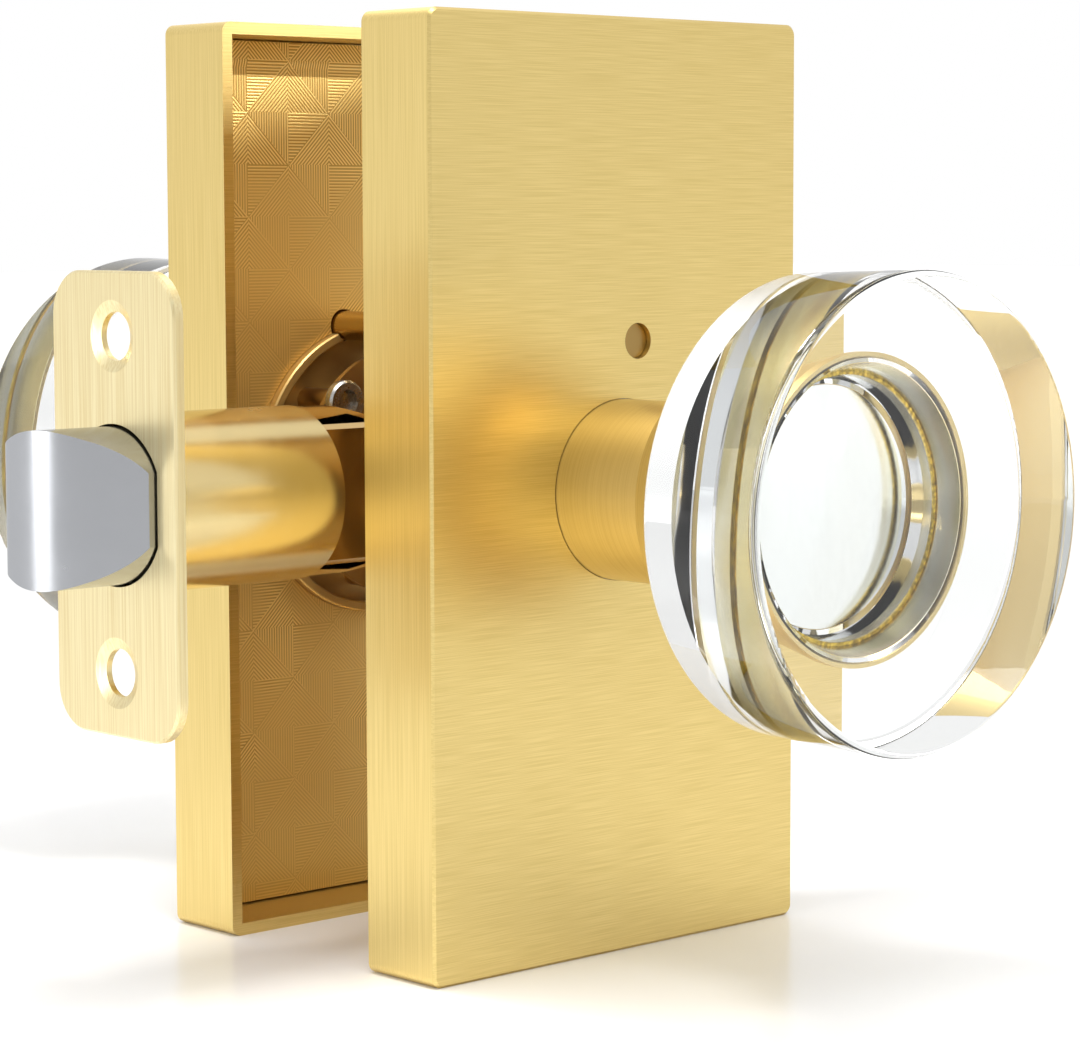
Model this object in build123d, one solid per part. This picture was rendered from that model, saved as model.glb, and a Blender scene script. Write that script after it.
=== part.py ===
from build123d import *
import os
from math import cos, radians, sin, sqrt

# Privacy door knob set with rectangular rosettes and a tubular spring latch.
# Origin: on the spindle axis, half way between the two rosettes.
# -X: latch side, -Y: outside of the door, +Y: inside of the door, +Z: up. Millimetres.

# Rosettes
ROSETTE_WIDTH = 64.6
ROSETTE_HEIGHT = 120.4
ROSETTE_DEPTH = 12.7
ROSETTE_WALL = 1.6
ROSETTE_FRONT = 1.3
ROSETTE_CORNER = 1.4
ROSETTE_BEVEL = 0.35
GAP = 28.2
RIM = GAP / 2
FACE = RIM + ROSETTE_DEPTH
COVER_INSIDE = FACE - ROSETTE_FRONT
COVER_BORE_R = 11.74
LINING_THICK = 2.1
LINING_CLEAR = 0.25
LINING_STRIP = 2.6
LINING_SLOPE = 0.9
LINING_SUNK = 0.3
LINING_BACK = COVER_INSIDE - LINING_THICK

# Round mounting plate inside each rosette, with a raised rim round its recess
PLATE_R = 25.0
PLATE_DEPTH = 1.6
PLATE_FLOOR = COVER_INSIDE - PLATE_DEPTH
RIM_R = 20.0
RIM_WIDTH = 1.3
RIM_START = LINING_BACK - 0.9
PLATE_BORE_R = 9.5

# Cover over the return spring, on three screws
SPRING_COVER_R = 17.2
SPRING_COVER_BORE_R = 8.7
SPRING_COVER_THICK = 0.8
SPRING_COVER_START = RIM + 2.3
COVER_SCREW_CIRCLE_R = 14.8
COVER_SCREW_R = 1.25
COVER_STANDOFF_R = 1.75
COVER_SCREW_DEPTH = 1.0
COVER_SCREW_HEAD_R = 3.0
COVER_SCREW_HEAD = 1.3
COVER_SCREW_SOCKET_R = 1.7
COVER_SCREW_ANGLES = (138.0, 258.0, 18.0)

# Knob hub, its washer, spring and retaining ring
HUB_STUB_R = 9.42
HUB_FLANGE_R = 12.8
HUB_FLANGE_THICK = 2.2
HUB_COLLAR_R = 8.4
HUB_COLLAR_START = RIM + 3.2
HUB_STUB_END = 32.0
WASHER_R = 12.9
WASHER_THICK = 0.5
HUB_TOP = PLATE_FLOOR - WASHER_THICK
CLIP_THICK = 0.6
CLIP_R = 11.7
CLIP_GROOVE_R = 8.8
CLIP_START = COVER_INSIDE + 0.04
RETURN_SPRING_R = 9.4
RETURN_WIRE_R = 0.4
RETURN_TURNS = 2.5
RETURN_LENGTH = 2.8

# Knob shank, and the cup at its end that carries the glass
SHANK_R = 11.66
SHANK_START = CLIP_START + CLIP_THICK + 0.1
SHANK_TOP = 43.2
CUP_FLOOR = 45.5
CUP_WALL = 0.5
CUP_CLEAR = 0.15
CUP_RIM = 58.9

# Glass knob: a disc with a tapered neck behind it
GLASS_FACE = 77.6
GLASS_BACK = 59.0
GLASS_FRONT_R = 28.8
GLASS_BACK_R = 28.2
GLASS_EDGE = 0.9
NECK_END = 46.0
NECK_END_R = 15.5
NECK_ROOT_R = 17.6
NECK_BEVEL = 0.6
FOIL_R = 14.8
FOIL_THICK = 0.3
RING_PLACE = 52.3
RING_WIDTH = 0.6
RING_DEPTH = 0.4

# Spindle and set screw
SPINDLE = 7.0
SPINDLE_FIT = 0.05
SPINDLE_END = 38.0
SET_SCREW_R = 2.0
SET_SCREW_PLACE = 29.6

# Through bolts and their posts
BOLT_CIRCLE_R = 20.5
BOLT_ANGLE = 103.0
BOLT_R = 2.0
BOLT_HEAD_R = 3.4
BOLT_END = 20.0
POST_R = 2.8
POST_BORE_R = 2.05
POST_END = 6.0

# Privacy pin
PIN_X = 2.85
PIN_Z = 19.0
PIN_R = 1.95
RELEASE_HOLE_R = 2.31
PIN_END = 26.0
PIN_INNER_END = 26.3
PIN_TIP_R = 2.24
PIN_TIP = 2.4
GUIDE_R = 2.9
BUTTON_R = 3.5
SLEEVE_R = 2.8
BUTTON_BORE_R = 2.2
BUTTON_START = 8.9
BUTTON_END = 28.3
BUTTON_SHOULDER = 22.7
BUTTON_HOLE_R = 3.8
LUG_INNER_R = 10.2
LUG_WIDTH = 3.0
LUG_THICK = 2.0
LUG_GAP = 0.3
NOTCH_WIDTH = 3.8

# Latch front
BACKSET = 60.3
PLATE_HEIGHT = 57.15
PLATE_WIDTH = 25.4
PLATE_THICK = 1.4
PLATE_CORNER = 5.6
SCREW_SPACING = 41.3
SCREW_HOLE_R = 3.0
SCREW_SINK_R = 4.4
SCREW_SINK = 0.6
LATCH_BOLT_R = 9.7
LATCH_FLAT_FRONT = 8.6
LATCH_FLAT_BACK = 6.4
LATCH_THROW = 12.0
LATCH_CLEAR = 0.3
NOSE_R = 11.0
NOSE_EDGE_R = 1.4
NOSE_FLAT = 8.0
LATCH_REAR = -58.0
TUBE_R = 11.1
TUBE_WALL = 0.8
TUBE_END = -33.0

# Latch works
SHEET = 0.8
CASE_HALF = 7.0
CASE_START = -34.6
CASE_SPIGOT_R = 10.2
CASE_HIGH = 10.8
CASE_NECK = 8.3
CASE_NECK_START = -20.5
CASE_STEP = -14.3
CASE_HUB_HIGH = 14.0
CASE_END = 14.8
JOURNAL_R = 5.6
JOURNAL_FIT = 0.05
BARREL_R = 6.5
BARREL_HALF = 4.2
CAM_R = 11.5
CAM_TIP_R = 1.2
CAM_HALF = 2.2
CAM_REST = 30.0
YOKE_START = -39.5
YOKE_THICK = 1.2
YOKE_HIGH = 7.1
ARM_INNER = 5.9
ARM_IN_Y = 4.6
ARM_OUT_Y = 5.8
ARM_WINDOW = -17.6
CROSS_START = -4.25
CROSS_END = -2.4
CROSS_LOW = 10.3
CROSS_HIGH = 12.0
PRONG_IN = 2.7
PRONG_OUT = 3.9
PRONG_HIGH = 3.0
HOOK_HIGH = 5.0
HOOK_LONG = 1.6
TAIL_PLATE_R = 6.9
TAIL_PLATE_THICK = 1.2
TAIL_PLATE_HALF = 5.9
BOLT_SPRING_R = 5.4
BOLT_SPRING_WIRE = 0.4
BOLT_SPRING_TURNS = 6
BACK_SPRING_R = 1.3
BACK_SPRING_WIRE = 0.25
BACK_SPRING_TURNS = 7


def block(x0, x1, y0, y1, z0, z1):
    """Box between two corners."""
    middle = ((x0 + x1) / 2, (y0 + y1) / 2, (z0 + z1) / 2)
    return Pos(*middle) * Box(x1 - x0, y1 - y0, z1 - z0)


def turned(points):
    """Solid of revolution about the spindle axis, from (radius, distance towards -Y) points."""
    sketch_plane = Plane(origin=(0, 0, 0), x_dir=(1, 0, 0), z_dir=(0, 0, -1))
    outline = sketch_plane * make_face(Polyline(*points, close=True))
    return revolve(outline, axis=Axis.Y)


def disc(radius, start, end, x=0, z=0):
    """Cylinder along the spindle direction, between two distances towards -Y."""
    middle = Pos(x, -(start + end) / 2, z)
    return middle * Rot(90, 0, 0) * Cylinder(radius, end - start)


def ring(inner, outer, start, end, x=0, z=0):
    """Straight tube along the spindle direction."""
    return disc(outer, start, end, x, z) - disc(inner, start - 1, end + 1, x, z)


def rod_x(radius, x0, x1, z=0):
    """Cylinder along the latch direction."""
    return Pos((x0 + x1) / 2, 0, z) * Rot(0, 90, 0) * Cylinder(radius, x1 - x0)


def coil(radius, wire, turns, length):
    """Round-wire helix that stands on the XY plane, its wire's middle from z=0 to z=length."""
    path = Helix(pitch=length / turns, height=length, radius=radius)
    section = Plane(origin=path @ 0, z_dir=path % 0) * Circle(wire)
    return sweep(section, path=path, is_frenet=True)


def bolt_places():
    """The two through-bolt places, opposite each other on the bolt circle."""
    places = []
    for angle in (BOLT_ANGLE, BOLT_ANGLE + 180):
        places.append((BOLT_CIRCLE_R * cos(radians(angle)), BOLT_CIRCLE_R * sin(radians(angle))))
    return places


# ---- Parts that both halves share; written for the outside half, mirrored for the inside ----

def rosette_cover(hole_r):
    size = (ROSETTE_WIDTH, ROSETTE_DEPTH, ROSETTE_HEIGHT)
    shell = Pos(0, -(RIM + FACE) / 2, 0) * Box(*size)
    shell = fillet(shell.edges().filter_by(Axis.Y), ROSETTE_CORNER)
    front = shell.faces().sort_by(Axis.Y)[0]
    shell = chamfer(front.edges(), ROSETTE_BEVEL)
    half_w = ROSETTE_WIDTH / 2 - ROSETTE_WALL
    half_h = ROSETTE_HEIGHT / 2 - ROSETTE_WALL
    shell -= block(-half_w, half_w, -COVER_INSIDE, -RIM + 1, -half_h, half_h)
    shell -= disc(COVER_BORE_R, COVER_INSIDE - 1, FACE + 1)
    return shell - disc(hole_r, COVER_INSIDE - 1, FACE + 1, PIN_X, PIN_Z)


def lining_field(half_w, half_h):
    """Shallow patterned field under the plain strip along the lining's top edge."""
    top = half_h - LINING_STRIP
    profile = Polyline(
        (-LINING_BACK, top), (-LINING_BACK - LINING_SUNK, top - LINING_SLOPE),
        (-LINING_BACK - LINING_SUNK, -half_h - 1), (-LINING_BACK + 1, -half_h - 1),
        (-LINING_BACK + 1, top), close=True)
    return extrude(Plane.YZ * make_face(profile), amount=half_w + 1, both=True)


def rosette_lining(pin_hole_r, bolt_hole_r):
    half_w = ROSETTE_WIDTH / 2 - ROSETTE_WALL - LINING_CLEAR
    half_h = ROSETTE_HEIGHT / 2 - ROSETTE_WALL - LINING_CLEAR
    plate = block(-half_w, half_w, -COVER_INSIDE, -LINING_BACK, -half_h, half_h)
    plate -= lining_field(half_w, half_h)
    plate -= disc(RIM_R + 0.1, LINING_BACK - 1, COVER_INSIDE + 1)
    plate -= disc(PLATE_R + 0.1, PLATE_FLOOR - 0.04, COVER_INSIDE + 1)
    for x, z in bolt_places():
        plate -= disc(bolt_hole_r, LINING_BACK - 1, COVER_INSIDE + 1, x, z)
    return plate - disc(pin_hole_r, LINING_BACK - 1, COVER_INSIDE + 1, PIN_X, PIN_Z)


def mounting_plate(pin_hole_r, bolt_hole_r, sunk):
    bowl_r = RIM_R - RIM_WIDTH
    plate = turned([
        (PLATE_BORE_R, PLATE_FLOOR), (bowl_r, PLATE_FLOOR), (bowl_r, RIM_START + 0.2),
        (bowl_r + 0.2, RIM_START), (RIM_R - 0.2, RIM_START), (RIM_R, RIM_START + 0.2),
        (RIM_R, PLATE_FLOOR), (PLATE_R, PLATE_FLOOR), (PLATE_R, COVER_INSIDE),
        (PLATE_BORE_R, COVER_INSIDE)])
    plate -= disc(pin_hole_r, RIM_START - 1, COVER_INSIDE + 1, PIN_X, PIN_Z)
    for x, z in cover_screw_places():
        plate -= disc(COVER_SCREW_R + 0.02, PLATE_FLOOR - 1, PLATE_FLOOR + COVER_SCREW_DEPTH, x, z)
    for x, z in bolt_places():
        plate -= disc(bolt_hole_r, RIM_START - 1, COVER_INSIDE + 1, x, z)
        if sunk:
            height = BOLT_HEAD_R - BOLT_R
            sink = Cone(BOLT_R + 0.2, BOLT_HEAD_R + 0.2, height)
            middle = COVER_INSIDE - height / 2
            plate -= Pos(x, -middle, z) * Rot(90, 0, 0) * sink
    return plate


def cover_screw_places():
    """Places of the three screws that hold the spring cover."""
    places = []
    for angle in COVER_SCREW_ANGLES:
        turn = radians(angle)
        places.append((COVER_SCREW_CIRCLE_R * cos(turn), COVER_SCREW_CIRCLE_R * sin(turn)))
    return places


def spring_cover(notched, pin_hole_r):
    end = SPRING_COVER_START + SPRING_COVER_THICK
    cover = ring(SPRING_COVER_BORE_R, SPRING_COVER_R, SPRING_COVER_START, end)
    for x, z in cover_screw_places():
        cover += disc(COVER_STANDOFF_R, end, PLATE_FLOOR, x, z)
        cover -= disc(COVER_SCREW_R + 0.05, SPRING_COVER_START - 1, PLATE_FLOOR + 1, x, z)
    cover -= disc(pin_hole_r, SPRING_COVER_START - 1, end + 1, PIN_X, PIN_Z)
    if notched:
        cover -= pin_direction() * block(
            LUG_INNER_R - 0.4, SPRING_COVER_R + 2, -end - 1, -SPRING_COVER_START + 1,
            -NOTCH_WIDTH / 2, NOTCH_WIDTH / 2)
    return cover


def spring_cover_screws():
    screws = []
    head = SPRING_COVER_START - COVER_SCREW_HEAD
    for x, z in cover_screw_places():
        screw = disc(COVER_SCREW_HEAD_R, head, SPRING_COVER_START, x, z)
        screw = chamfer(screw.edges().sort_by(Axis.Y)[-1], 0.3)
        screw -= disc(COVER_SCREW_SOCKET_R, head - 1, head + 0.8, x, z)
        tip = PLATE_FLOOR + COVER_SCREW_DEPTH - 0.1
        screws.append(screw + disc(COVER_SCREW_R, SPRING_COVER_START, tip, x, z))
    return Compound(children=screws)


def knob_hub(notched):
    flange_start = HUB_TOP - HUB_FLANGE_THICK
    clip_end = CLIP_START + CLIP_THICK
    hub = turned([
        (0, HUB_COLLAR_START), (HUB_COLLAR_R, HUB_COLLAR_START), (HUB_COLLAR_R, flange_start),
        (HUB_FLANGE_R, flange_start), (HUB_FLANGE_R, HUB_TOP), (HUB_STUB_R, HUB_TOP),
        (HUB_STUB_R, CLIP_START), (CLIP_GROOVE_R, CLIP_START), (CLIP_GROOVE_R, clip_end),
        (HUB_STUB_R, clip_end), (HUB_STUB_R, HUB_STUB_END), (0, HUB_STUB_END)])
    hub -= square_bar(SPINDLE + 2 * SPINDLE_FIT, -HUB_STUB_END - 1, 0)
    hub -= Pos(0, -SET_SCREW_PLACE, -HUB_STUB_R) * Cylinder(SET_SCREW_R, 2 * HUB_STUB_R)
    if notched:
        hub -= pin_direction() * block(
            LUG_INNER_R - 0.4, HUB_FLANGE_R + 2, -HUB_TOP - 1, -flange_start + 1,
            -NOTCH_WIDTH / 2, NOTCH_WIDTH / 2)
    return hub


def pin_direction():
    """Turns the +X direction towards the privacy pin, about the spindle."""
    plane = Plane(origin=(0, 0, 0), x_dir=(PIN_X, 0, PIN_Z), z_dir=(-PIN_Z, 0, PIN_X))
    return plane.location


def thrust_washer():
    return ring(PLATE_BORE_R + 0.1, WASHER_R, HUB_TOP, HUB_TOP + WASHER_THICK)


def retaining_ring():
    clip = ring(CLIP_GROOVE_R + 0.02, CLIP_R, CLIP_START + 0.02, CLIP_START + CLIP_THICK - 0.02)
    return clip - block(-1.6, 1.6, -40, 0, -CLIP_R - 1, 0)


def return_spring():
    spring = coil(RETURN_SPRING_R, RETURN_WIRE_R, RETURN_TURNS, RETURN_LENGTH)
    start = HUB_COLLAR_START + RETURN_WIRE_R + 0.05
    return Pos(0, -start, 0) * Rot(90, 0, 0) * spring


def neck_radius(distance):
    """Radius of the neck's tapered wall at a distance towards -Y."""
    start = NECK_END + NECK_BEVEL
    end = GLASS_BACK - NECK_BEVEL
    return NECK_END_R + (NECK_ROOT_R - NECK_END_R) * (distance - start) / (end - start)


def knob_shank():
    foot = neck_radius(CUP_FLOOR) + CUP_CLEAR
    rim = neck_radius(CUP_RIM) + CUP_CLEAR + NECK_BEVEL
    step = CUP_RIM - 2 * NECK_BEVEL
    shank = turned([
        (0, CUP_FLOOR), (0, SPINDLE_END + 1), (SPINDLE, SPINDLE_END + 1), (SPINDLE, HUB_STUB_END),
        (HUB_STUB_R + 0.03, HUB_STUB_END), (HUB_STUB_R + 0.03, SHANK_START),
        (SHANK_R, SHANK_START), (SHANK_R, SHANK_TOP), (foot + CUP_WALL, CUP_FLOOR),
        (rim + CUP_WALL, step), (rim + CUP_WALL, CUP_RIM), (rim, CUP_RIM),
        (neck_radius(step) + CUP_CLEAR, step), (foot, CUP_FLOOR)])
    return shank - Pos(0, -SET_SCREW_PLACE, -SHANK_R) * Cylinder(SET_SCREW_R, 8)


def set_screw():
    outer = sqrt(SHANK_R ** 2 - SET_SCREW_R ** 2) - 0.4
    inner = SPINDLE / 2 + SPINDLE_FIT + 0.1
    middle = Pos(0, -SET_SCREW_PLACE, -(outer + inner) / 2)
    screw = middle * Cylinder(SET_SCREW_R - 0.03, outer - inner)
    key = extrude(RegularPolygon(1.1, 6), amount=2.0)
    return screw - Pos(0, -SET_SCREW_PLACE, -outer - 0.01) * key


def glass_knob():
    front = turned([(0, GLASS_BACK), (GLASS_BACK_R, GLASS_BACK), (GLASS_FRONT_R, GLASS_FACE),
                    (0, GLASS_FACE)])
    front = fillet(front.edges().filter_by(GeomType.CIRCLE), GLASS_EDGE)
    neck = turned([
        (0, NECK_END), (NECK_END_R - NECK_BEVEL, NECK_END), (NECK_END_R, NECK_END + NECK_BEVEL),
        (NECK_ROOT_R, GLASS_BACK - NECK_BEVEL), (NECK_ROOT_R + NECK_BEVEL, GLASS_BACK),
        (NECK_ROOT_R, GLASS_BACK + 1), (0, GLASS_BACK + 1)])
    groove_r = neck_radius(RING_PLACE) - RING_DEPTH
    start = RING_PLACE - RING_WIDTH / 2
    return front + neck - ring(groove_r, NECK_ROOT_R + 1, start, start + RING_WIDTH)


def knob_foil():
    return disc(FOIL_R, NECK_END - FOIL_THICK, NECK_END - 0.01)


def knob_ring():
    outer = neck_radius(RING_PLACE)
    start = RING_PLACE - RING_WIDTH / 2 + 0.01
    return ring(outer - RING_DEPTH + 0.01, outer, start, start + RING_WIDTH - 0.02)


# ---- Single parts ----

def square_bar(side, y0, y1):
    return block(-side / 2, side / 2, y0, y1, -side / 2, side / 2)


def spindle():
    bar = square_bar(SPINDLE, -SPINDLE_END, SPINDLE_END)
    return chamfer(bar.edges().filter_by(Axis.Y), 0.4)


def bolt_posts():
    posts = []
    for x, z in bolt_places():
        post = disc(POST_R, -POST_END, COVER_INSIDE, x, z)
        posts.append(post - disc(POST_BORE_R, -POST_END - 1, BOLT_END + 2, x, z))
    return Compound(children=posts)


def through_bolts():
    bolts = []
    height = BOLT_HEAD_R - BOLT_R
    for x, z in bolt_places():
        shaft = disc(BOLT_R, -(COVER_INSIDE - height), BOLT_END, x, z)
        head = Cone(BOLT_R, BOLT_HEAD_R, height)
        bolt = shaft + Pos(x, COVER_INSIDE - height / 2, z) * Rot(-90, 0, 0) * head
        slot = block(x - 4, x + 4, COVER_INSIDE - 0.8, COVER_INSIDE + 1, z - 0.5, z + 0.5)
        bolts.append(bolt - slot)
    return Compound(children=bolts)


def release_guide():
    start = HUB_TOP - HUB_FLANGE_THICK + 0.4
    return ring(RELEASE_HOLE_R, GUIDE_R, start, COVER_INSIDE, PIN_X, PIN_Z)


def privacy_pin():
    pin = disc(PIN_R, -PIN_INNER_END, PIN_END, PIN_X, PIN_Z)
    pin += disc(PIN_TIP_R, PIN_END - PIN_TIP, PIN_END, PIN_X, PIN_Z)
    lug_far = HUB_TOP - HUB_FLANGE_THICK - LUG_GAP
    lug = block(LUG_INNER_R, sqrt(PIN_X ** 2 + PIN_Z ** 2), -lug_far, -lug_far + LUG_THICK,
                -LUG_WIDTH / 2, LUG_WIDTH / 2)
    return pin + pin_direction() * lug


def privacy_button():
    head = disc(BUTTON_R, -BUTTON_END, -BUTTON_SHOULDER, PIN_X, PIN_Z)
    head = chamfer(head.edges().sort_by(Axis.Y)[-1], 0.6)
    body = head + disc(SLEEVE_R, -BUTTON_SHOULDER, -BUTTON_START, PIN_X, PIN_Z)
    return body - disc(BUTTON_BORE_R, -BUTTON_END + 1.6, -BUTTON_START + 1, PIN_X, PIN_Z)


def latch_section(extra):
    """Round bar along X with the latch bolt's two flats, for one margin all round."""
    bar = rod_x(LATCH_BOLT_R + extra, -BACKSET - LATCH_THROW - 1, LATCH_REAR + 2)
    return bar & block(-100, 0, -LATCH_FLAT_FRONT - extra, LATCH_FLAT_BACK + extra, -20, 20)


def latch_bolt():
    tip = -BACKSET - LATCH_THROW
    outline = Polyline(
        (LATCH_REAR, LATCH_FLAT_BACK), (tip, LATCH_FLAT_BACK),
        (tip, LATCH_FLAT_BACK - NOSE_FLAT), (-BACKSET - 1.0, -LATCH_FLAT_FRONT),
        (LATCH_REAR, -LATCH_FLAT_FRONT), close=True)
    face = make_face(outline)
    corners = face.vertices().sort_by(Axis.X)[:2].sort_by(Axis.Y)
    side = fillet(corners[0], NOSE_R)
    edge = side.vertices().sort_by(Axis.X)[:2].sort_by(Axis.Y)[-1]
    side = fillet(edge, NOSE_EDGE_R)
    return extrude(side, amount=12, both=True) & latch_section(0)


def latch_faceplate():
    front = Plane(origin=(-BACKSET, 0, 0), x_dir=(0, -1, 0), z_dir=(-1, 0, 0))
    sheet = front * RectangleRounded(PLATE_WIDTH, PLATE_HEIGHT, PLATE_CORNER)
    plate = extrude(sheet, amount=-PLATE_THICK)
    plate = chamfer(plate.faces().sort_by(Axis.X)[0].edges(), 0.3)
    for z in (-SCREW_SPACING / 2, SCREW_SPACING / 2):
        plate -= rod_x(SCREW_HOLE_R, -BACKSET - 1, -BACKSET + 4, z)
        sink = Cone(SCREW_SINK_R, SCREW_HOLE_R, SCREW_SINK)
        plate -= Pos(-BACKSET + SCREW_SINK / 2, 0, z) * Rot(0, 90, 0) * sink
    return plate - latch_section(LATCH_CLEAR)


def latch_tube():
    start = -BACKSET + PLATE_THICK
    return rod_x(TUBE_R, start, TUBE_END) - rod_x(TUBE_R - TUBE_WALL, start - 1, TUBE_END + 1)


def case_outline(inset):
    """Side outline of the latch case, shrunk inwards by one sheet thickness or not at all."""
    upper = [
        (CASE_START, CASE_SPIGOT_R - inset), (TUBE_END, CASE_SPIGOT_R - inset),
        (TUBE_END, CASE_HIGH - inset), (CASE_NECK_START - 6.5, CASE_HIGH - inset),
        (CASE_NECK_START, CASE_NECK - inset), (CASE_STEP + inset, CASE_NECK - inset),
        (CASE_STEP + inset, CASE_HUB_HIGH - inset), (CASE_END - inset, CASE_HUB_HIGH - inset)]
    if inset:
        upper[2] = (TUBE_END, CASE_SPIGOT_R - inset + 0.1)
    lower = [(x, -z) for x, z in reversed(upper)]
    return Plane.XZ * make_face(Polyline(*upper, *lower, close=True))


def latch_case():
    outer = extrude(case_outline(0), amount=CASE_HALF, both=True)
    outer &= rod_x(CASE_SPIGOT_R, CASE_START, TUBE_END) + rod_x(CASE_HIGH + 0.05, TUBE_END, -19) + block(
        -19, CASE_END, -CASE_HALF, CASE_HALF, -20, 20)
    case = outer - extrude(case_outline(SHEET), amount=CASE_HALF - SHEET, both=True)
    case -= rod_x(CASE_SPIGOT_R - SHEET, CASE_START - 1, TUBE_END) & block(
        -50, 0, -CASE_HALF + SHEET, CASE_HALF - SHEET, -20, 20)
    return case - disc(JOURNAL_R + JOURNAL_FIT, -CASE_HALF - 1, CASE_HALF + 1)


def latch_hub():
    hub = disc(JOURNAL_R, -CASE_HALF, CASE_HALF) + disc(BARREL_R, -BARREL_HALF, BARREL_HALF)
    for angle in (90 + CAM_REST, -90 - CAM_REST):
        x = CAM_R * cos(radians(angle))
        z = CAM_R * sin(radians(angle))
        hub += disc(CAM_TIP_R, -CAM_HALF, CAM_HALF, x, z)
        arm = block(0, CAM_R, -CAM_HALF, CAM_HALF, -CAM_TIP_R, CAM_TIP_R)
        hub += Rot(0, -angle, 0) * arm
    return hub - square_bar(SPINDLE + 2 * SPINDLE_FIT, -CASE_HALF - 1, CASE_HALF + 1)


def latch_retractor():
    yoke_end = YOKE_START + YOKE_THICK
    body = block(YOKE_START, yoke_end, -ARM_OUT_Y, ARM_OUT_Y, -YOKE_HIGH, YOKE_HIGH)
    for low, high in ((ARM_IN_Y, ARM_OUT_Y), (-ARM_OUT_Y, -ARM_IN_Y)):
        side = block(yoke_end - 0.1, CROSS_END, low, high, -YOKE_HIGH, YOKE_HIGH)
        side -= block(ARM_WINDOW, 0, low - 1, high + 1, -ARM_INNER, ARM_INNER)
        side += block(CROSS_START, CROSS_END, low, high, YOKE_HIGH - 0.5, CROSS_HIGH)
        side += block(CROSS_START, CROSS_END, low, high, -CROSS_HIGH, -YOKE_HIGH + 0.5)
        body += side
    for low, high in ((CROSS_LOW, CROSS_HIGH), (-CROSS_HIGH, -CROSS_LOW)):
        body += block(CROSS_START, CROSS_END, -ARM_OUT_Y, ARM_OUT_Y, low, high)
    for low, high in ((PRONG_IN, PRONG_OUT), (-PRONG_OUT, -PRONG_IN)):
        body -= block(YOKE_START - 1, yoke_end + 0.5, low - 0.2, high + 0.2,
                      -PRONG_HIGH - 0.2, PRONG_HIGH + 0.2)
    return body


def bolt_tail():
    plate_end = LATCH_REAR + TAIL_PLATE_THICK
    hook_start = YOKE_START + YOKE_THICK + 0.1
    tail = rod_x(TAIL_PLATE_R, LATCH_REAR, plate_end)
    tail &= block(LATCH_REAR, plate_end, -TAIL_PLATE_HALF, TAIL_PLATE_HALF, -20, 20)
    for low, high in ((PRONG_IN, PRONG_OUT), (-PRONG_OUT, -PRONG_IN)):
        tail += block(LATCH_REAR, hook_start + HOOK_LONG, low, high, -PRONG_HIGH, PRONG_HIGH)
        tail += block(hook_start, hook_start + HOOK_LONG, low, high, -HOOK_HIGH, HOOK_HIGH)
    return tail


def bolt_spring():
    start = LATCH_REAR + TAIL_PLATE_THICK + BOLT_SPRING_WIRE + 0.05
    length = YOKE_START - BOLT_SPRING_WIRE - 0.05 - start
    spring = coil(BOLT_SPRING_R, BOLT_SPRING_WIRE, BOLT_SPRING_TURNS, length)
    return Pos(start, 0, 0) * Rot(0, 90, 0) * spring


def retractor_springs():
    start = CROSS_END + BACK_SPRING_WIRE + 0.05
    length = CASE_END - SHEET - BACK_SPRING_WIRE - 0.05 - start
    middle = (CROSS_LOW + CROSS_HIGH) / 2
    springs = []
    for z in (-middle, middle):
        spring = coil(BACK_SPRING_R, BACK_SPRING_WIRE, BACK_SPRING_TURNS, length)
        springs.append(Pos(start, 0, z) * Rot(0, 90, 0) * spring)
    return Compound(children=springs)


def both_halves():
    """Node names and solids that the outside and inside halves have alike."""
    outside = {
        "rosette_cover": rosette_cover(RELEASE_HOLE_R),
        "rosette_lining": rosette_lining(GUIDE_R + 0.2, POST_R + 0.2),
        "mounting_plate": mounting_plate(GUIDE_R + 0.02, POST_R + 0.02, False),
        "spring_cover": spring_cover(True, PIN_R + 0.5),
        "knob_hub": knob_hub(True)}
    inside = {
        "rosette_cover": rosette_cover(BUTTON_HOLE_R),
        "rosette_lining": rosette_lining(BUTTON_HOLE_R, BOLT_R + 0.3),
        "mounting_plate": mounting_plate(BUTTON_HOLE_R, BOLT_R + 0.2, True),
        "spring_cover": spring_cover(False, SLEEVE_R + 0.4),
        "knob_hub": knob_hub(False)}
    alike = (spring_cover_screws, thrust_washer, retaining_ring, return_spring, knob_shank, set_screw,
             glass_knob, knob_foil, knob_ring)
    for make in alike:
        outside[make.__name__] = make()
        inside[make.__name__] = outside[make.__name__]
    nodes = {}
    for name, solid in outside.items():
        nodes["outside_" + name] = solid
    for name, solid in inside.items():
        nodes["inside_" + name] = mirror(solid, about=Plane.XZ)
    return nodes


def all_nodes():
    nodes = both_halves()
    singles = (spindle, bolt_posts, through_bolts, release_guide, privacy_pin, privacy_button,
               latch_bolt, latch_faceplate, latch_tube, latch_case, latch_hub,
               latch_retractor, bolt_tail, bolt_spring, retractor_springs)
    for make in singles:
        nodes[make.__name__] = make()
    return nodes


os.makedirs("parts", exist_ok=True)
for node_name, node_solid in all_nodes().items():
    export_step(node_solid, "parts/" + node_name + ".step")
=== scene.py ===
import math

import bpy
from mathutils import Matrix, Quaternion, Vector


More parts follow.
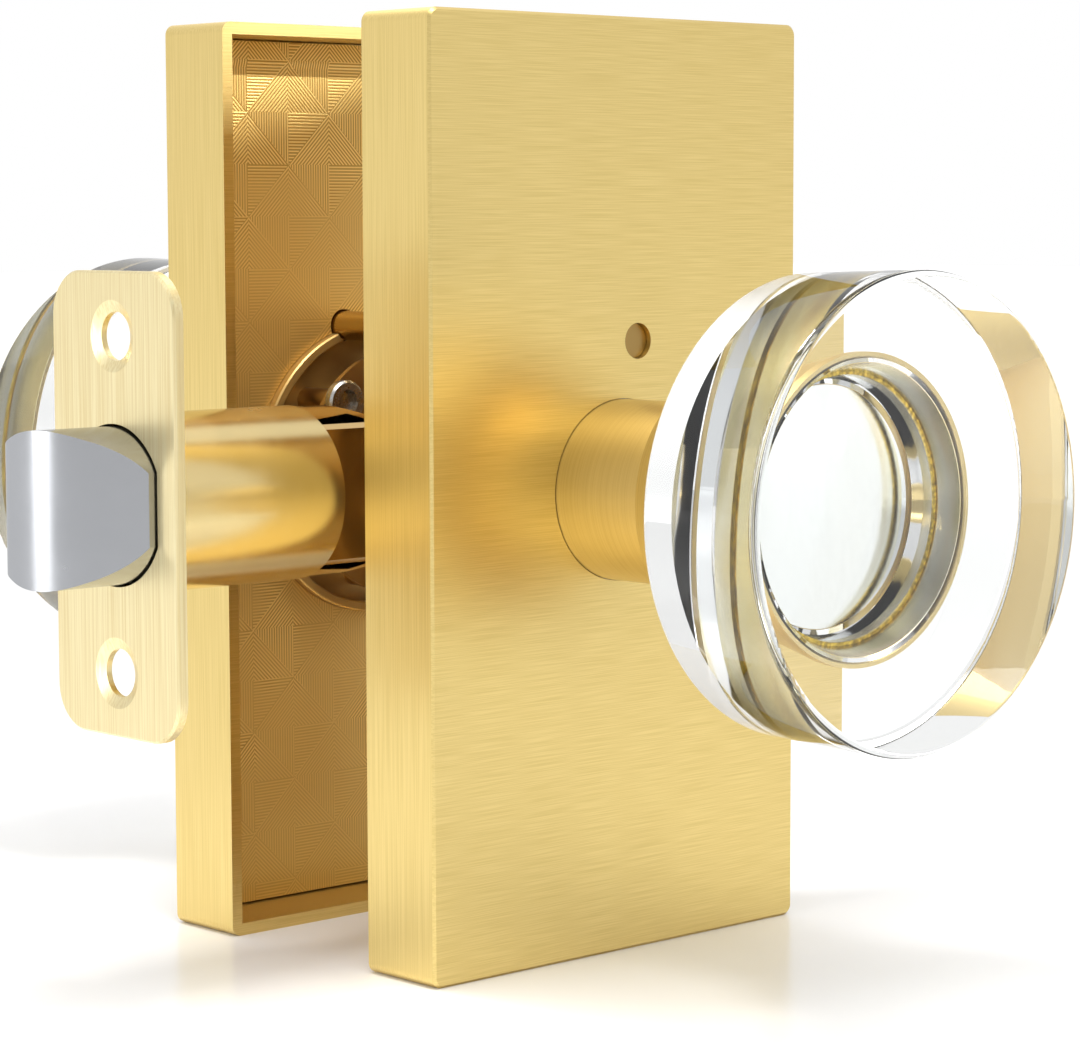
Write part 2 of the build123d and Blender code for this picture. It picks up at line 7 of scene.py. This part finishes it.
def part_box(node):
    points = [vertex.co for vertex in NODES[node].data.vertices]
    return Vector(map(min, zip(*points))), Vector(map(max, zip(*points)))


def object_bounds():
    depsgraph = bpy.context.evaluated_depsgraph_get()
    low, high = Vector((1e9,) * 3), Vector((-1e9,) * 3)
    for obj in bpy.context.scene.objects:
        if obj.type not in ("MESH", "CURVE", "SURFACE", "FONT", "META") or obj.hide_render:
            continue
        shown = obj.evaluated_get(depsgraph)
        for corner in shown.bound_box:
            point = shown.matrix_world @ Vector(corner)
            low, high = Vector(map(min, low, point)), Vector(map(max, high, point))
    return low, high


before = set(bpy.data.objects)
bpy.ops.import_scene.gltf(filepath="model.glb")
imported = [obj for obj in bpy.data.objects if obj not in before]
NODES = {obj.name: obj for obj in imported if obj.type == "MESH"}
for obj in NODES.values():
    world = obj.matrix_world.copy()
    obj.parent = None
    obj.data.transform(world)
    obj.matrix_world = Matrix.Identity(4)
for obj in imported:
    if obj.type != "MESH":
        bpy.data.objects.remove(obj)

CAD_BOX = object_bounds()
MM = 0.001

# The camera, in the CAD frame (metres and degrees)
CAMERA_PLACE = (-0.29137, -0.32752, 0.03573)
CAMERA_YAW = -42.65
CAMERA_PITCH = 5.48
CAMERA_ROLL = -0.16
CAMERA_LENS = 109.0
SENSOR = 36.0

# Patterned lining: side of one square, distance between its lines, and the heights between which
# its hatch goes from faint to full, a painted light on the top of the lining (with deeper relief there too)
CELL = 7.0 * MM
HATCH = 0.42 * MM
HATCH_PAINTED_DIM_BELOW = 38 * MM
HATCH_PAINTED_LIT_ABOVE = 44 * MM

# Mounting plate: radii between which its darker brown colour inside the recess turns into the gold rim
RECESS_R = 18.55 * MM
RIM_R = 18.75 * MM

# Gilded wall of the glass neck: how far it stays inside the neck's two ends and reaches past the
# ring, half the width of the gold line and of its soft edge, and where silver turns into gilding
WALL_FROM_DISC = 0.6 * MM
WALL_FROM_CUP = 0.4 * MM
WALL_PAST_RING = 1.6 * MM
GOLD_LINE = 0.4 * MM
GOLD_LINE_EDGE = 0.6 * MM
SILVER_END = 3.3 * MM
GILDING_START = 3.6 * MM

# Floor: half its side, and the distances between which its glow fades in
FLOOR_REACH = 4.0
GLOW_START = 0.25
GLOW_FULL = 1.2

# Direction from the object to the camera, level
TO_CAMERA = (-0.68, -0.73, 0.0)


# ---- Node helpers ----

def put(socket, value):
    """Sets an input to a number, a colour or another node's output."""
    if isinstance(value, bpy.types.NodeSocket):
        socket.id_data.links.new(value, socket)
    elif hasattr(value, "__len__") and len(value) == 3 and socket.type == "RGBA":
        socket.default_value = (*value, 1.0)
    else:
        socket.default_value = value


def add(tree, kind, values=None, **settings):
    """New node with its settings and input values; inputs are named or numbered."""
    node = tree.nodes.new("ShaderNode" + kind)
    for key, value in settings.items():
        setattr(node, key, value)
    for key, value in (values or {}).items():
        put(node.inputs[key], value)
    return node


def calc(tree, operation, a, b=0.0, c=0.0):
    """One Math node's result."""
    return add(tree, "Math", {0: a, 1: b, 2: c}, operation=operation).outputs[0]


def choose(tree, chooser, when_zero, when_one):
    """Mixes two numbers by a third."""
    node = add(tree, "Mix", {"Factor": chooser, 2: when_zero, 3: when_one}, data_type="FLOAT")
    return node.outputs[0]


def tint(tree, chooser, when_zero, when_one):
    """Mixes two colours by a number."""
    node = add(tree, "Mix", {"Factor": chooser, 6: when_zero, 7: when_one}, data_type="RGBA")
    return node.outputs[2]


def spread(tree, value, low, high, to_low=0.0, to_high=1.0):
    """Maps one range to another, smoothly, and holds the ends."""
    node = add(tree, "MapRange", {0: value, 1: low, 2: high, 3: to_low, 4: to_high})
    node.interpolation_type = "SMOOTHSTEP"
    return node.outputs[0]


def place_of(tree):
    """Object-space place, as a vector."""
    return add(tree, "TexCoord").outputs["Object"]


def split(tree, vector):
    """A vector's x, y and z."""
    parts = add(tree, "SeparateXYZ", {0: vector})
    return parts.outputs[0], parts.outputs[1], parts.outputs[2]


def facing_y(tree):
    """How squarely the surface faces along y, from 0 to 1."""
    normal = add(tree, "TexCoord").outputs["Normal"]
    return calc(tree, "ABSOLUTE", split(tree, normal)[1])


def away_from_axis(tree, a, b):
    """Distance from an axis, from the two coordinates square to it."""
    squares = calc(tree, "ADD", calc(tree, "MULTIPLY", a, a), calc(tree, "MULTIPLY", b, b))
    return calc(tree, "SQRT", squares)


def speckle(tree, vector, scale, detail=2.0, rough=0.5):
    """Noise with its own scale along each axis, in repeats per metre."""
    stretched = add(tree, "Mapping", {"Vector": vector, "Scale": scale})
    noise = add(tree, "TexNoise", {
        "Vector": stretched.outputs[0], "Scale": 1.0, "Detail": detail, "Roughness": rough})
    return noise.outputs[0]


def start_material(name):
    """Empty material with a shader and an output already joined."""
    material = bpy.data.materials.new(name)
    material.use_nodes = True
    shader = material.node_tree.nodes["Principled BSDF"]
    return material, material.node_tree, shader


def give(material, *names):
    """Puts a material on CAD nodes."""
    for name in names:
        mesh = NODES[name].data
        mesh.materials.clear()
        mesh.materials.append(material)


def bump(tree, shader, height, depth, strength=1.0):
    """Fine relief, its depth in metres."""
    node = add(tree, "Bump", {"Height": height, "Distance": depth, "Strength": strength})
    put(shader.inputs["Normal"], node.outputs[0])


# ---- Metals ----

def brushed(tree, shader, grain, dark, light, rough, depth):
    """Colour, roughness and relief that all follow one grain pattern."""
    fine = spread(tree, grain, 0.3, 0.7)
    put(shader.inputs["Base Color"], tint(tree, fine, dark, light))
    put(shader.inputs["Roughness"], choose(tree, fine, rough[0], rough[1]))
    bump(tree, shader, grain, depth)


def rosette_brass():
    """Satin brass, brushed across the front and along the sides."""
    material, tree, shader = start_material("rosette_brass")
    vector = place_of(tree)
    across = speckle(tree, vector, (110, 2500, 9500), 1.0)
    along = speckle(tree, vector, (6500, 6500, 50), 1.0)
    front = spread(tree, facing_y(tree), 0.4, 0.7)
    grain = choose(tree, front, along, across)
    shader.inputs["Metallic"].default_value = 1.0
    brushed(tree, shader, grain, (0.71, 0.54, 0.20), (0.80, 0.62, 0.25), (0.37, 0.33), 0.000006)
    return material


def shank_brass():
    """Turned brass with fine rings round its axis."""
    material, tree, shader = start_material("shank_brass")
    vector = place_of(tree)
    grain = speckle(tree, vector, (40, 8000, 40), 2.0)
    shader.inputs["Metallic"].default_value = 1.0
    brushed(tree, shader, grain, (0.75, 0.58, 0.26), (0.81, 0.64, 0.30), (0.36, 0.33), 0.000003)
    return material


def faceplate_brass():
    """Pale brass, brushed lengthways."""
    material, tree, shader = start_material("faceplate_brass")
    vector = place_of(tree)
    grain = speckle(tree, vector, (3000, 4200, 40), 3.0)
    shader.inputs["Metallic"].default_value = 1.0
    brushed(tree, shader, grain, (0.78, 0.64, 0.34), (0.90, 0.79, 0.48), (0.37, 0.31), 0.00001)
    return material


def polished(name, color, rough, scale=140.0, wave=0.00002):
    """Bright metal with faint smudges and slow waves."""
    material, tree, shader = start_material(name)
    vector = place_of(tree)
    smudge = speckle(tree, vector, (scale, scale, scale), 4.0, 0.6)
    dark = tuple(c * 0.88 for c in color)
    shader.inputs["Metallic"].default_value = 1.0
    put(shader.inputs["Base Color"], tint(tree, smudge, dark, color))
    put(shader.inputs["Roughness"], spread(tree, smudge, 0.3, 0.8, rough, rough + 0.08))
    bump(tree, shader, smudge, wave)
    return material


def lining_brass():
    """Glossy brass lining, engine-turned in squares of hatching in four directions; the hatch colour is
    painted brighter and sharper towards the top, as painted light falling there.
    """
    material, tree, shader = start_material("patterned_lining")
    vector = place_of(tree)
    x, _, z = split(tree, vector)
    u = calc(tree, "DIVIDE", x, CELL)
    v = calc(tree, "DIVIDE", z, CELL)
    odd = calc(tree, "PINGPONG", calc(tree, "ADD", calc(tree, "FLOOR", u), calc(tree, "FLOOR", v)), 1.0)
    fu = calc(tree, "FRACT", u)
    fv = calc(tree, "FRACT", v)
    above = calc(tree, "GREATER_THAN", fv, fu)
    beyond = calc(tree, "GREATER_THAN", calc(tree, "ADD", fu, fv), 1.0)
    slant = 1 / math.sqrt(2)
    falling = calc(tree, "MULTIPLY", calc(tree, "ADD", x, z), slant)
    rising = calc(tree, "MULTIPLY", calc(tree, "SUBTRACT", x, z), slant)
    even_cell = choose(tree, above, rising, z)
    odd_cell = choose(tree, beyond, falling, x)
    distance = choose(tree, odd, even_cell, odd_cell)
    wave = calc(tree, "SINE", calc(tree, "MULTIPLY", distance, math.tau / HATCH))
    worn = speckle(tree, vector, (70, 70, 70), 2.0)
    # Painted light: this height ramp brightens the hatch colour towards the top, where the light falls, and
    # deepens the relief there as well; random wear patches keep it strong in places lower down
    painted_light_and_wear = spread(tree, z, HATCH_PAINTED_DIM_BELOW, HATCH_PAINTED_LIT_ABOVE, 0.25, 1.0)
    painted_light_and_wear = calc(tree, "MAXIMUM", painted_light_and_wear, spread(tree, worn, 0.5, 0.7, 0.1, 0.8))
    depth = calc(tree, "MULTIPLY", wave, painted_light_and_wear)
    shader.inputs["Metallic"].default_value = 0.6
    line = spread(tree, depth, -1.0, 1.0)
    # Hatch colour from dark to bright; its bright lines near the top are painted light
    put(shader.inputs["Base Color"], tint(tree, line, (0.50, 0.29, 0.06), (1.0, 0.72, 0.25)))
    put(shader.inputs["Roughness"], spread(tree, worn, 0.3, 0.7, 0.36, 0.46))
    bump(tree, shader, depth, 0.00001)
    return material


def plate_bronze():
    """Mounting plate: gold rim, darker brown colour inside the recess."""
    material, tree, shader = start_material("plate_bronze")
    vector = place_of(tree)
    x, _, z = split(tree, vector)
    radius = away_from_axis(tree, x, z)
    rim = spread(tree, radius, RECESS_R, RIM_R)
    smudge = speckle(tree, vector, (200, 200, 200), 4.0)
    dark = tint(tree, smudge, (0.42, 0.26, 0.09), (0.60, 0.39, 0.14))
    gold = tint(tree, smudge, (0.58, 0.37, 0.12), (0.72, 0.48, 0.17))
    put(shader.inputs["Base Color"], tint(tree, rim, dark, gold))
    shader.inputs["Metallic"].default_value = 0.6
    put(shader.inputs["Roughness"], spread(tree, smudge, 0.3, 0.8, 0.28, 0.42))
    bump(tree, shader, smudge, 0.00001)
    return material


def wire_steel():
    """Drawn steel wire and cut steel, with fine scratches."""
    material, tree, shader = start_material("works_steel")
    vector = place_of(tree)
    grain = speckle(tree, vector, (900, 900, 900), 3.0, 0.6)
    shader.inputs["Metallic"].default_value = 1.0
    brushed(tree, shader, grain, (0.42, 0.41, 0.40), (0.66, 0.65, 0.63), (0.34, 0.22), 0.00001)
    return material


# ---- Glass and foil ----

def clear_glass():
    """Polished crystal; its neck's wall is coated silver at the deep end, then gilded with a gold line."""
    material, tree, shader = start_material("clear_glass")
    vector = place_of(tree)
    x, y, z = split(tree, vector)
    depth = calc(tree, "ABSOLUTE", y)
    radius = away_from_axis(tree, x, z)
    ring_low, ring_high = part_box("inside_knob_ring")
    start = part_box("inside_glass_knob")[0][1]
    cup_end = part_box("inside_knob_shank")[1][1]
    wall = calc(tree, "MULTIPLY", calc(tree, "GREATER_THAN", depth, start + WALL_FROM_DISC),
                calc(tree, "LESS_THAN", depth, cup_end - WALL_FROM_CUP))
    wall = calc(tree, "MULTIPLY", wall, calc(tree, "LESS_THAN", radius, ring_high[0] + WALL_PAST_RING))
    ring_middle = (ring_low[1] + ring_high[1]) / 2
    from_ring = calc(tree, "ABSOLUTE", calc(tree, "SUBTRACT", depth, ring_middle))
    gold = spread(tree, from_ring, GOLD_LINE, GOLD_LINE_EDGE, 1.0, 0.0)
    patches = speckle(tree, vector, (75, 220, 75), 2.0)
    khaki = tint(tree, spread(tree, patches, 0.35, 0.65), (0.82, 0.74, 0.42), (1.0, 0.98, 0.84))
    hue = speckle(tree, vector, (55, 180, 55), 1.0)
    khaki = tint(tree, spread(tree, hue, 0.45, 0.7, 0.0, 0.6), khaki, (0.92, 0.74, 0.50))
    chips = add(tree, "TexVoronoi", {"Vector": vector, "Scale": 1800.0})
    glitter = tint(tree, chips.outputs["Distance"], (0.85, 0.62, 0.10), (0.22, 0.14, 0.02))
    coat = tint(tree, gold, khaki, glitter)
    gilded = spread(tree, depth, start + SILVER_END, start + GILDING_START)
    coat = tint(tree, gilded, (0.90, 0.91, 0.92), coat)
    put(shader.inputs["Base Color"], tint(tree, wall, (0.975, 0.985, 0.98), coat))
    put(shader.inputs["Metallic"], wall)
    put(shader.inputs["Transmission Weight"], calc(tree, "SUBTRACT", 1.0, wall))
    blur = choose(tree, gilded, 0.04, 0.2)
    put(shader.inputs["Roughness"], calc(tree, "MULTIPLY", wall, blur))
    shader.inputs["IOR"].default_value = 1.52
    polish = speckle(tree, vector, (35, 35, 35), 1.0)
    bump(tree, shader, polish, 0.00004, 0.3)
    return material


def silver_foil():
    """Silvered foil with cloudy streaks."""
    material, tree, shader = start_material("silver_foil")
    vector = place_of(tree)
    cloud = speckle(tree, vector, (160, 160, 60), 4.0, 0.6)
    put(shader.inputs["Base Color"], tint(tree, cloud, (0.88, 0.90, 0.89), (0.98, 0.99, 0.98)))
    shader.inputs["Metallic"].default_value = 1.0
    put(shader.inputs["Roughness"], spread(tree, cloud, 0.3, 0.7, 0.1, 0.2))
    bump(tree, shader, cloud, 0.00003)
    return material


def gold_wire():
    """Rough gold wire that glitters."""
    material, tree, shader = start_material("gold_ring")
    vector = place_of(tree)
    chips = add(tree, "TexVoronoi", {"Vector": vector, "Scale": 2600.0})
    shader.inputs["Metallic"].default_value = 1.0
    put(shader.inputs["Base Color"], tint(
        tree, chips.outputs["Distance"], (0.92, 0.78, 0.30), (0.50, 0.38, 0.10)))
    shader.inputs["Roughness"].default_value = 0.22
    bump(tree, shader, chips.outputs["Distance"], 0.0001)
    return material


def give_all_materials():
    """A material for every CAD node."""
    brass = rosette_brass()
    lining = lining_brass()
    plate = plate_bronze()
    shank = shank_brass()
    glass = clear_glass()
    foil = silver_foil()
    wire = gold_wire()
    steel = wire_steel()
    cover = polished("cover_bronze", (0.46, 0.30, 0.12), 0.3)
    turned = polished("hub_brass", (0.62, 0.43, 0.17), 0.2)
    for half in ("outside_", "inside_"):
        give(brass, half + "rosette_cover")
        give(lining, half + "rosette_lining")
        give(plate, half + "mounting_plate")
        give(cover, half + "spring_cover")
        give(shank, half + "knob_shank")
        give(glass, half + "glass_knob")
        give(foil, half + "knob_foil")
        give(wire, half + "knob_ring")
        give(turned, half + "knob_hub")
        for part in ("spring_cover_screws", "thrust_washer", "retaining_ring", "set_screw", "return_spring"):
            give(steel, half + part)
    give(turned, "bolt_posts", "through_bolts", "release_guide")
    give(steel, "spindle", "latch_hub", "latch_retractor",
         "bolt_tail", "bolt_spring", "retractor_springs")
    give(polished("pin_brass", (0.40, 0.26, 0.09), 0.34), "privacy_pin")
    give(shank, "privacy_button")
    give(polished("bolt_chrome", (0.42, 0.43, 0.45), 0.2), "latch_bolt")
    give(faceplate_brass(), "latch_faceplate")
    give(polished("tube_brass", (0.86, 0.68, 0.33), 0.2), "latch_tube")
    give(polished("case_copper", (0.78, 0.54, 0.24), 0.14), "latch_case")


# ---- Studio ----

def floor():
    """Large pale glossy floor that the rosettes stand on."""
    low = CAD_BOX[0][2]
    mesh = bpy.data.meshes.new("floor")
    signs = ((-1, -1), (1, -1), (1, 1), (-1, 1))
    corners = [(a * FLOOR_REACH, b * FLOOR_REACH, low) for a, b in signs]
    mesh.from_pydata(corners, [], [(0, 1, 2, 3)])
    piece = bpy.data.objects.new("floor", mesh)
    bpy.context.scene.collection.objects.link(piece)
    material, tree, shader = start_material("floor")
    x, y, _ = split(tree, place_of(tree))
    far = spread(tree, away_from_axis(tree, x, y), GLOW_START, GLOW_FULL)
    shader.inputs["Base Color"].default_value = (0.92, 0.92, 0.92, 1.0)
    shader.inputs["Roughness"].default_value = 0.22
    shader.inputs["Emission Color"].default_value = (1.0, 1.0, 1.0, 1.0)
    put(shader.inputs["Emission Strength"], calc(tree, "MULTIPLY", far, 0.35))
    mesh.materials.append(material)


def soft_light(name, place, width, height, power):
    """Soft rectangular light that looks at the origin; metres and watts."""
    data = bpy.data.lights.new(name, "AREA")
    data.shape = "RECTANGLE"
    data.size = width
    data.size_y = height
    data.energy = power
    light = bpy.data.objects.new(name, data)
    bpy.context.scene.collection.objects.link(light)
    light.location = place
    light.rotation_euler = (-Vector(place)).to_track_quat("-Z", "Y").to_euler()


def narrow_beam(name, place, target, angle, flatness, power):
    """Flat narrow spot that clears the front plate's top edge and lands on the lining behind it."""
    data = bpy.data.lights.new(name, "SPOT")
    data.energy = power
    data.spot_size = math.radians(angle)
    data.spot_blend = 0.2
    data.shadow_soft_size = 0.004
    light = bpy.data.objects.new(name, data)
    bpy.context.scene.collection.objects.link(light)
    light.location = place
    light.rotation_euler = (Vector(target) - Vector(place)).to_track_quat("-Z", "Y").to_euler()
    light.scale = (1.0, flatness, 1.0)


def studio():
    """White room, darker round the camera, with three soft lights and a beam over the front plate."""
    world = bpy.data.worlds.new("studio")
    bpy.context.scene.world = world
    world.use_nodes = True
    tree = world.node_tree
    back = tree.nodes["Background"]
    direction = add(tree, "TexCoord").outputs["Generated"]
    towards = add(tree, "VectorMath", {0: direction, 1: TO_CAMERA}, operation="DOT_PRODUCT")
    dark = spread(tree, towards.outputs["Value"], 0.2, 0.98, 0.9, 0.62)
    seen = add(tree, "LightPath").outputs["Is Camera Ray"]
    put(back.inputs["Strength"], choose(tree, seen, dark, 1.0))
    back.inputs["Color"].default_value = (1.0, 1.0, 1.0, 1.0)
    soft_light("left_panel", (-0.95, 0.05, 0.15), 0.4, 0.8, 3.6)
    soft_light("gap_lamp", (-0.04, 0.0, 0.17), 0.06, 0.03, 0.35)
    narrow_beam("lining_beam", (0.34, -0.409, 0.268), (-0.02, 0.0234, 0.056), 6.0, 0.26, 8.0)
    soft_light("top_panel", (-0.1, -0.25, 0.9), 0.7, 0.7, 4.2)


def camera():
    """Camera at the photo's angle."""
    data = bpy.data.cameras.new("camera")
    data.lens = CAMERA_LENS
    data.sensor_width = SENSOR
    data.clip_start = 0.01
    eye = bpy.data.objects.new("camera", data)
    bpy.context.scene.collection.objects.link(eye)
    eye.location = CAMERA_PLACE
    yaw = math.radians(CAMERA_YAW)
    pitch = math.radians(CAMERA_PITCH)
    eye.rotation_euler = (math.pi / 2 - pitch, 0.0, yaw)
    level = eye.rotation_euler.to_quaternion()
    roll = Quaternion((0.0, 0.0, 1.0), math.radians(CAMERA_ROLL))
    eye.rotation_mode = "QUATERNION"
    eye.rotation_quaternion = level @ roll
    bpy.context.scene.camera = eye


give_all_materials()
floor()
studio()
camera()
bpy.context.scene.view_settings.view_transform = "Standard"
